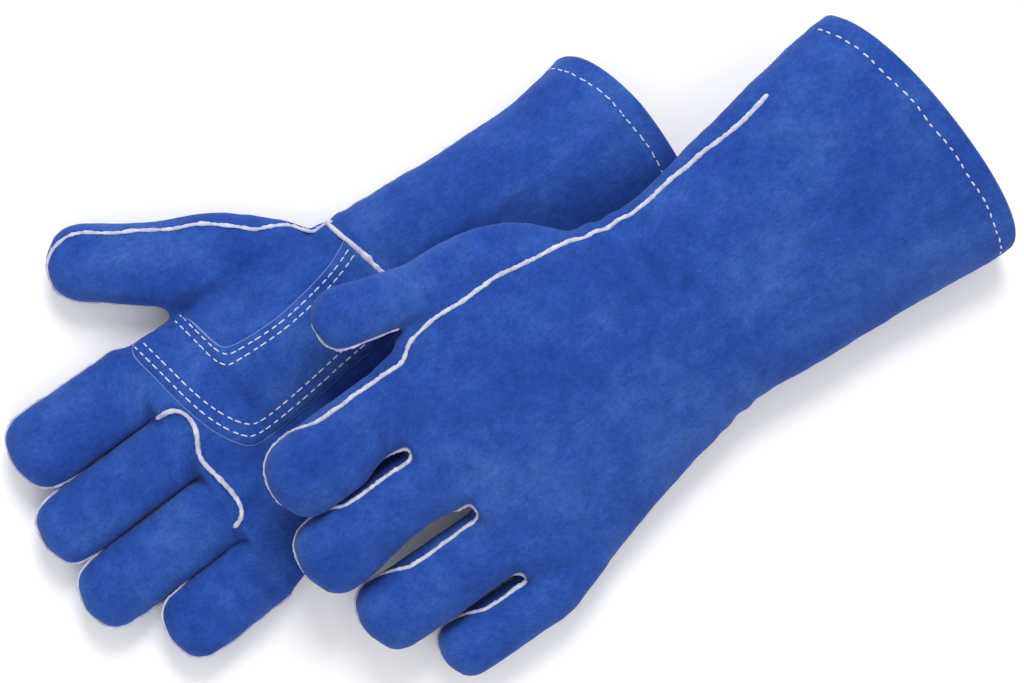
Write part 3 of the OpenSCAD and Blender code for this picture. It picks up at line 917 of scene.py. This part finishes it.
def welts(hand, skin):
    glove = GLOVES[hand]
    for k in range(4):
        node = f"{hand}_{DIGITS[k]}_welt"
        points, tip = finger_line(hand, skin, k)
        edge_welt(hand, "v_" + node, points, tip, k, [node], glove["stand"], 1.7, k + 2.0)
    node = f"{hand}_thumb_welt"
    points, tip = thumb_line(hand, skin)
    edge_welt(hand, "v_" + node, points, tip, 4, [node], glove["stand"] + 0.1, 1.7, 7.5)
    node = f"{hand}_side_welt"
    edge_welt(hand, "v_" + node, side_line(hand, skin), np.array((0.0, 0.0, 0.0)), -1, [node],
              glove["stand"] + 0.1, 1.6, 9.1)


# ---- what is sewn on the palm: patch, surface welts and stitches ----

def palm_way(hand):
    """Straight towards the palm, in the row's frame: +1 up or -1 down."""
    return 1.0 if hand == "right" else -1.0


def on_palm(hand, tree, plan, lift=0.0):
    """The point of the palm's skin over a point of the plan, or the nearest one, with its normal."""
    side = palm_way(hand)
    at = from_plan(hand, plan)
    found = tree.ray_cast(Vector((at[0], at[1], 0.3 * side)), Vector((0, 0, -side)), 1.0)
    if found[0] is None:
        found = tree.find_nearest(Vector((at[0], at[1], FRAMES[hand][1][2] + 0.004 * side)))
    normal = np.array(found[1])
    if normal[2] * side < -0.3:
        normal = -normal
    return np.array(found[0]) + normal * lift * MM, normal


# the patch between thumb and palm, in plan
PATCH = [(-39, -0.8), (-28, 1.6), (-18, 3), (-4, 3.6), (3, 3.6), (7.6, -10), (8.4, -36), (10.4, -49), (12.2, -74),
         (12, -86), (10, -91), (-3, -98.4), (-20, -103), (-40, -105.6), (-56.5, -108.6), (-57, -100), (-55, -86),
         (-54.5, -79), (-44, -76.8), (-32, -74.6), (-29.4, -70), (-27.8, -51), (-29, -36), (-33, -13)]
# rows of stitches in plan, from wrist to thumb's crotch and round the palm
ROWS = [
    [(-35, -1), (-30, -14), (-26.4, -36), (-25.4, -51), (-27, -70), (-27.6, -73.5), (-32, -76.5), (-44, -78.5),
     (-56, -80.6)],
    [(-31.4, -0.5), (-26.6, -14), (-23, -36), (-22, -51), (-23.2, -72), (-24, -77), (-30, -80), (-44, -82),
     (-56, -84)],
    [(3, 1.5), (4.4, -27), (7, -49), (9, -74), (8.6, -84), (7.4, -88), (-4, -95), (-20, -99.5), (-40, -102.4),
     (-57.5, -105.5)],
    [(-1, 1.5), (0.2, -29), (2.8, -49), (4.8, -72), (4.6, -80), (3.2, -84.6), (-7, -91), (-22, -95.6), (-40, -98.4),
     (-57, -101.4)],
]
WRIST_WELT = [(-51, -3), (-40, -0.6), (-28, 1.8), (-18, 3.4), (-4, 4), (14, 3.6), (34, 2), (50, 0)]
BASE_WELT = [(-23.5, -116), (-23.6, -109), (-20, -105), (-16, -103.6), (-10, -104), (-6, -106), (0, -110),
             (4, -111), (11, -109.4), (20, -108), (29, -108), (33.5, -110), (35.6, -113), (35.8, -117)]


def smooth_line(points, step):
    """A rounded line through given points, evenly spaced."""
    p = np.array(points, float)
    for _ in range(3):
        cut = [p[0]]
        for a, b in zip(p, p[1:]):
            cut += [a * 0.75 + b * 0.25, a * 0.25 + b * 0.75]
        p = np.array(cut + [p[-1]])
    return along(p, step)[0]


def patch(hand, tree):
    outline = smooth_line(PATCH + [PATCH[0]], 1.6)[:-1]
    closed = np.vstack([outline, outline[:1]])
    low, high = outline.min(0), outline.max(0)
    grid = np.array([(x, y) for x in np.arange(low[0], high[0], 2.2) for y in np.arange(low[1], high[1], 2.2)])
    grid = grid[inside(outline, grid) & (distance_to_line(grid, closed) > 1.3)]
    points = [Vector(p) for p in outline] + [Vector(p) for p in grid]
    count = len(outline)
    edges = [(i, (i + 1) % count) for i in range(count)]
    flat, _, tris, _, _, _ = delaunay_2d_cdt(points, edges, [], 1, 1e-4)
    flat = [tuple(p) for p in flat]
    edges = np.minimum(distance_to_line(flat, closed), 2.0) / 2.0
    verts, rest = [], []
    for plan, edge in zip(flat, edges):
        found = on_palm(hand, tree, plan, 0.1)
        rise = 0.75 + 0.65 * math.sin(edge * math.pi / 2)
        verts.append(found[0] + found[1] * rise * MM)
        rest.append((plan[0] + 40, plan[1] + 25, 7.0))
    top = len(verts)
    turning = sum(a[0] * b[1] - a[1] * b[0] for a, b in zip(outline, np.roll(outline, -1, axis=0)))
    for i in range(count):
        ahead, behind = np.array(flat[(i + 1) % count]), np.array(flat[i - 1])
        out = np.array([ahead[1] - behind[1], behind[0] - ahead[0]])
        out /= max(np.linalg.norm(out), 1e-9)
        out *= 0.75 if turning > 0 else -0.75
        found = on_palm(hand, tree, np.array(flat[i]) + out, -0.3)
        verts.append(found[0])
        rest.append((flat[i][0] + 40, flat[i][1] + 25, 5.5))
    faces = [tuple(t) for t in tris]
    faces += [(i, (i + 1) % count, top + (i + 1) % count, top + i) for i in range(count)]
    node = hand + "_palm_patch"
    obj = welt_object("v_" + node, [(verts, faces)], BLUE, rest)
    obj.data.materials.append(CUT_EDGE)
    for face in list(obj.data.polygons)[-count:]:
        face.material_index = 1
    crease_edges(obj, 50)
    return hold(hand, obj, -1, [node])


def crease_edges(obj, degrees):
    """Marks edges sharper than this as hard, so that they shade as a fold."""
    obj.data.set_sharp_from_angle(angle=math.radians(degrees))


def inside(outline, points):
    """Which points of the plan lie inside an outline."""
    odd = np.zeros(len(points), bool)
    x, y = points[:, 0], points[:, 1]
    for (ax, ay), (bx, by) in zip(outline, np.roll(outline, -1, axis=0)):
        if ay != by:
            odd ^= ((ay > y) != (by > y)) & (x < (bx - ax) * (y - ay) / (by - ay) + ax)
    return odd


def surface_welt(hand, tree, node, line, seed):
    """A welt that lies across the palm."""
    plan = smooth_line(line, 1.1)
    points, outs, rest = [], [], []
    for p in plan:
        at, out = on_palm(hand, tree, p, 0.2)
        points.append(at / MM)
        outs.append(out)
        rest.append((p[0], p[1], 0))
    points, outs = np.array(points), np.array(outs)
    for _ in range(6):
        points[1:-1] = (points[:-2] + 2 * points[1:-1] + points[2:]) / 4
        outs[1:-1] = (outs[:-2] + 2 * outs[1:-1] + outs[2:]) / 4
    outs /= np.linalg.norm(outs, axis=1)[:, None]
    way = np.gradient(points, axis=0)
    sides = np.cross(way, outs)
    sides /= np.linalg.norm(sides, axis=1)[:, None]
    verts, faces = strip(points, outs, sides, 1.9, 1.5, seed)
    obj = welt_object("v_" + node, [(verts * MM, faces)], PALE, verts)
    return hold(hand, obj, -1, [node])


def stitch(a, b, normal, radius):
    """One stitch of thread lying from a to b, its ends dipping into the leather."""
    way = b - a
    side = np.cross(way, normal)
    side /= max(np.linalg.norm(side), 1e-9)
    verts, faces = [], []
    steps, around = 6, 6
    for i in range(steps + 1):
        t = i / steps
        rise = radius * (1.5 * math.sin(math.pi * t) ** 0.6 - 0.9)
        r = radius * (0.55 + 0.45 * math.sin(math.pi * t) ** 0.5)
        middle = a + way * t + normal * rise
        for j in range(around):
            angle = 2 * math.pi * j / around
            verts.append(middle + side * (r * 1.15 * math.cos(angle)) + normal * (r * math.sin(angle)))
    for i in range(steps):
        for j in range(around):
            p, q = i * around + j, i * around + (j + 1) % around
            faces.append((p, q, q + around, p + around))
    faces.append(tuple(range(around - 1, -1, -1)))
    faces.append(tuple(range(steps * around, (steps + 1) * around)))
    return verts, faces


def stitches(hand, skin, tree):
    """The hem's row all round, and the rows that hold the patch."""
    glove = GLOVES[hand]
    made = []
    radius = STITCH * MM
    half = HALF_MOUTH * 1.05
    for side in (1, -1):
        run = []
        for x in np.arange(-half, half, 0.6):
            y = glove["cuff"] - HEM_ROW + 0.35 * math.sin(x * 0.21) + 0.2 * math.sin(x * 0.9)
            found = hit(skin["straight_tree"], (x, y, 90.0 * side), (0, 0, -side), 100.0)
            if found is not None:
                run.append(found)
        line = placed(hand, run, -1)
        made += row_of_stitches(skin["tree"], line, radius, 4.9, 3.0)
    for row in ROWS:
        line = np.array([on_palm(hand, tree, p)[0] for p in smooth_line(row, 0.7)])
        made += row_of_stitches(tree, line, radius * 0.9, 4.3, 3.3)
    node = hand + "_stitching"
    verts = [v for m in made for v in m[0]]
    obj = welt_object("v_" + node, made, THREAD, np.array(verts) / MM)
    return hold(hand, obj, -1, [node])


def row_of_stitches(tree, line, radius, pitch, length):
    """Stitches `length` long, one every `pitch`, along a line that lies on a skin."""
    step = 0.3
    p, at = along(line / MM, step)
    p *= MM
    made = []
    n = 0
    for start in np.arange(1.0, at[-1] - length, pitch):
        n += 1
        stretch = length + 0.5 * math.sin(n * 2.4)
        a = p[int(start / step)]
        b = p[min(len(p) - 1, int((start + stretch) / step))]
        _, normal, _, _ = tree.find_nearest(Vector((a + b) / 2))
        normal = np.array(normal)
        made.append(stitch(a, b, normal, radius))
    return made


# ---- linings ----

def lining(hand, name, rings, label, node, material):
    verts, faces = loft(rings)
    faces = faces[:-2]
    rest = np.array([tuple(v) for v in verts])
    obj = to_object(name, placed(hand, rest, label), faces, material)
    add_rest(obj, rest)
    return hold(hand, obj, label, [node])


def linings(hand):
    glove = GLOVES[hand]

    def tube(ys, inset):
        rings = []
        for y in ys:
            row = station(glove, np.array(float(y)))
            rings.append(section(((row[1] + row[2]) / 2, y, 0), (row[2] - row[1]) / 2 - inset - 1, (1, 0, 0), (0, 0, 1),
                                 min(row[3], glove["floor"] or 99) - inset, row[4] - inset))
        return rings

    lining(hand, f"v_{hand}_cuff_lining", tube(np.arange(glove["cuff"] - 8, -2, -4), 4.2), -1,
           hand + "_cuff_lining", CANVAS)
    lining(hand, f"v_{hand}_hand_lining", tube(np.arange(0, glove["web"] + 14, -4), 4.6), -1,
           hand + "_hand_lining", FLEECE)
    back, palm = glove["finger_h"]
    for k in range(4):
        low, high = glove["spans"][k]
        half = (high - low) / 2
        rings = []
        for s in np.linspace(0, 1, 12):
            y = glove["web"] + 1 - (glove["lengths"][k] - 20) * s
            scale = 0.62 * round_tip(float(s), 0.75)
            rings.append(section(((low + high) / 2, y, 0), half * scale, (1, 0, 0), (0, 0, 1),
                                 back * scale, palm * scale))
        node = f"{hand}_{DIGITS[k]}_lining"
        lining(hand, "v_" + node, spread_back(glove, rings, k), k, node, FLEECE)
    _, _, base, way, across = thumb_axis(glove)
    rings = []
    for s in np.linspace(0.12, 0.84, 12):
        middle = base + way * glove["thumb_l"] * s
        scale = 0.6 * round_tip(float(s), 0.7)
        rings.append(section((middle[0], middle[1], glove["thumb_z"]), glove["thumb_w"] * scale, (*across, 0),
                             (0, 0, 1), glove["thumb_h"][0] * scale, glove["thumb_h"][1] * scale))
    node = hand + "_thumb_lining"
    lining(hand, "v_" + node, rings, 4, node, FLEECE)


def spread_back(glove, rings, k):
    """Moves rings of a finger to where it stands in the spread glove."""
    return [[p + Vector((float(finger_shift(glove, k, p.y)), 0, 0)) for p in ring] for ring in rings]


# ---- the pair ----

for hand in GLOVES:
    SKIN = build_skin(hand)
    panels(hand, SKIN)
    welts(hand, SKIN)
    PATCHED = patch(hand, SKIN["tree"])
    # skin and patch as one surface, for what is sewn through both
    BELOW = len(SKIN["final"])
    TOP = BVHTree.FromPolygons(
        [Vector(p) for p in SKIN["final"]] + [v.co.copy() for v in PATCHED.data.vertices],
        SKIN["faces"] + [tuple(i + BELOW for i in p.vertices) for p in PATCHED.data.polygons])
    surface_welt(hand, TOP, hand + "_wrist_welt", WRIST_WELT, 4.4)
    surface_welt(hand, TOP, hand + "_finger_base_welt", BASE_WELT, 6.2)
    stitches(hand, SKIN, TOP)
    linings(hand)


# ---- floor, light and camera ----

floor_mesh = to_mesh("floor", [(x * 3, y * 3, -0.0003) for x, y in ((-1, -1), (1, -1), (1, 1), (-1, 1))],
                     [(0, 1, 2, 3)])
floor = bpy.data.objects.new("floor", floor_mesh)
bpy.context.scene.collection.objects.link(floor)
pale = bpy.data.materials.new("pale_floor")
pale.use_nodes = True
pale.node_tree.nodes["Principled BSDF"].inputs["Base Color"].default_value = (0.9, 0.9, 0.91, 1)
pale.node_tree.nodes["Principled BSDF"].inputs["Roughness"].default_value = 0.9
floor_mesh.materials.append(pale)

world = bpy.data.worlds.new("studio")
world.use_nodes = True
world.node_tree.nodes["Background"].inputs["Color"].default_value = (1, 1, 1, 1)
world.node_tree.nodes["Background"].inputs["Strength"].default_value = 0.75
bpy.context.scene.world = world


def soft_light(name, place, target, size, power_w):
    light = bpy.data.lights.new(name, "AREA")
    light.shape = "DISK"
    light.size = size
    light.energy = power_w
    obj = bpy.data.objects.new(name, light)
    obj.location = place
    obj.rotation_euler = (Vector(target) - Vector(place)).to_track_quat("-Z", "Y").to_euler()
    bpy.context.scene.collection.objects.link(obj)


soft_light("key", (-0.9, 0.7, 1.3), (0, 0, 0.02), 0.9, 22)
soft_light("fill", (1.0, -0.6, 1.3), (0, 0, 0.02), 1.2, 8)

camera = bpy.data.cameras.new("camera")
camera.sensor_width = 36
camera.lens = 100
camera.clip_end = 20
eye = bpy.data.objects.new("camera", camera)
bpy.context.scene.collection.objects.link(eye)
AIM = Vector((0.028, 0.006, 0.03))
TILT = math.radians(4)
BACK = Vector((0, -math.sin(TILT), math.cos(TILT)))
RIGHT = Vector((0.602, 0.799, 0))
RIGHT = (RIGHT - BACK * RIGHT.dot(BACK)).normalized()
eye.matrix_world = Matrix((RIGHT, BACK.cross(RIGHT), BACK)).transposed().to_4x4()
eye.location = AIM + BACK * 1.275
bpy.context.scene.camera = eye
bpy.context.scene.view_settings.view_transform = "Standard"
